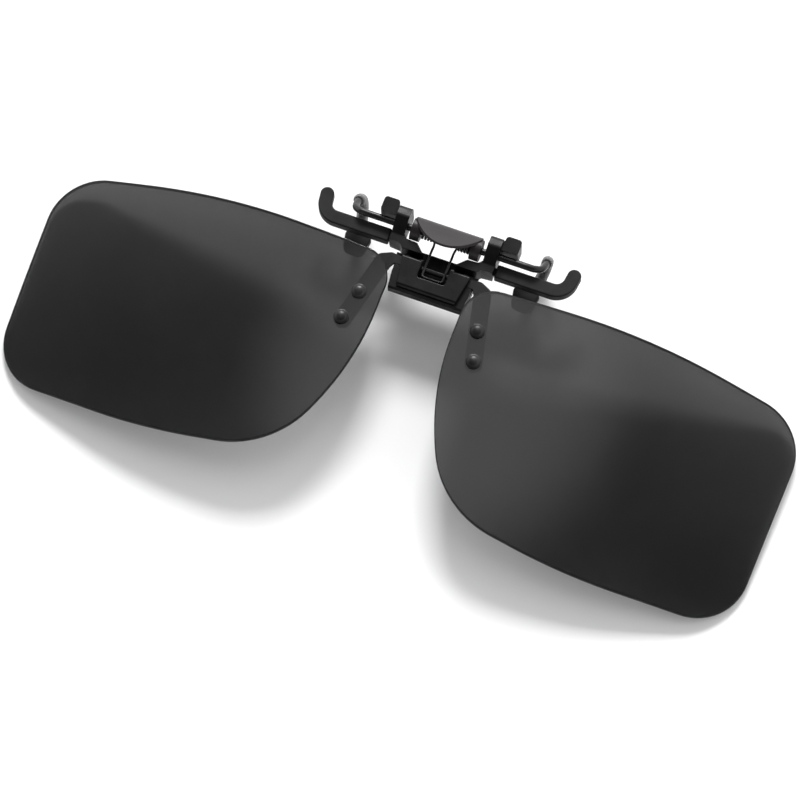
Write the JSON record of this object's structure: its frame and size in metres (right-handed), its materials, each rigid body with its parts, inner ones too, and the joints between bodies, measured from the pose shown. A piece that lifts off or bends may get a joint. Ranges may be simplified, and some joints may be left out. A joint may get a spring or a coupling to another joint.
{
  "type": "clip-on flip-up sunglasses",
  "caption": "Tinted lens pair on a flip block, held to spectacles by fixed front claws and a spring-closed rear jaw that opens with a thumb plate.",
  "frame": {"origin": "the middle of the footprint, on the table the glasses lie on", "axes": "+X across the face towards the right lens as seen from the front, +Y up the face towards the clamp, +Z out of the lens fronts, which is up when the glasses lie on their back"},
  "size_m": [0.1378, 0.0531, 0.0146],
  "materials": {
    "black_plastic": "fine moulded black, half gloss",
    "gloss_black": "moulded black, glossier",
    "claw_rubber": "matte dark grey",
    "black_metal": "black lacquered strip",
    "black_wire": "glossy black wire",
    "plate_metal": "dark grey-brown satin",
    "spring_steel": "drawn steel",
    "rivet_metal": "gunmetal, polished",
    "clear_nylon": "clear",
    "grey_silicone": "translucent grey",
    "lens_tint": "smoke-grey polarised plastic, polished"
  },
  "bodies": {
    "clip_body": {"clamp_seat": "black_plastic", "front_claw_sleeve_left": "claw_rubber", "front_claw_sleeve_right": "claw_rubber", "flip_hinge_pin": "spring_steel", "torsion_spring": "spring_steel"},
    "rear_jaw": {"thumb_plate": "plate_metal", "jaw_wire": "black_wire", "jaw_sleeve_left": "grey_silicone", "jaw_sleeve_right": "grey_silicone", "rear_pad_left": "claw_rubber", "rear_pad_right": "claw_rubber"},
    "lens_carrier": {"lens_seat_base": "black_plastic", "lens_seat_cover": "gloss_black", "bridge_strap_left": "black_metal", "bridge_strap_right": "black_metal", "lens_left": "lens_tint", "lens_right": "lens_tint", "rivet_left_upper": "rivet_metal", "rivet_left_lower": "rivet_metal", "rivet_right_upper": "rivet_metal", "rivet_right_lower": "rivet_metal", "rivet_cap_left_upper": "rivet_metal", "rivet_cap_left_lower": "rivet_metal", "rivet_cap_right_upper": "rivet_metal", "rivet_cap_right_lower": "rivet_metal", "lens_washer_left_upper": "clear_nylon", "lens_washer_left_lower": "clear_nylon", "lens_washer_right_upper": "clear_nylon", "lens_washer_right_lower": "clear_nylon"}
  },
  "joints": [
    {"name": "lens_flip", "type": "hinge", "parent": "clip_body", "child": "lens_carrier", "pos_m": [0, 0.0156, 0.00912], "axis": [-1, 0, 0], "range_deg": [0, 90]},
    {"name": "jaw_open", "type": "hinge", "parent": "clip_body", "child": "rear_jaw", "pos_m": [0, 0.0217, 0.01052], "axis": [1, 0, 0], "range_deg": [0, 25], "stiffness_Nm_per_rad": 0.02, "springref_deg": -28.65}
  ]
}
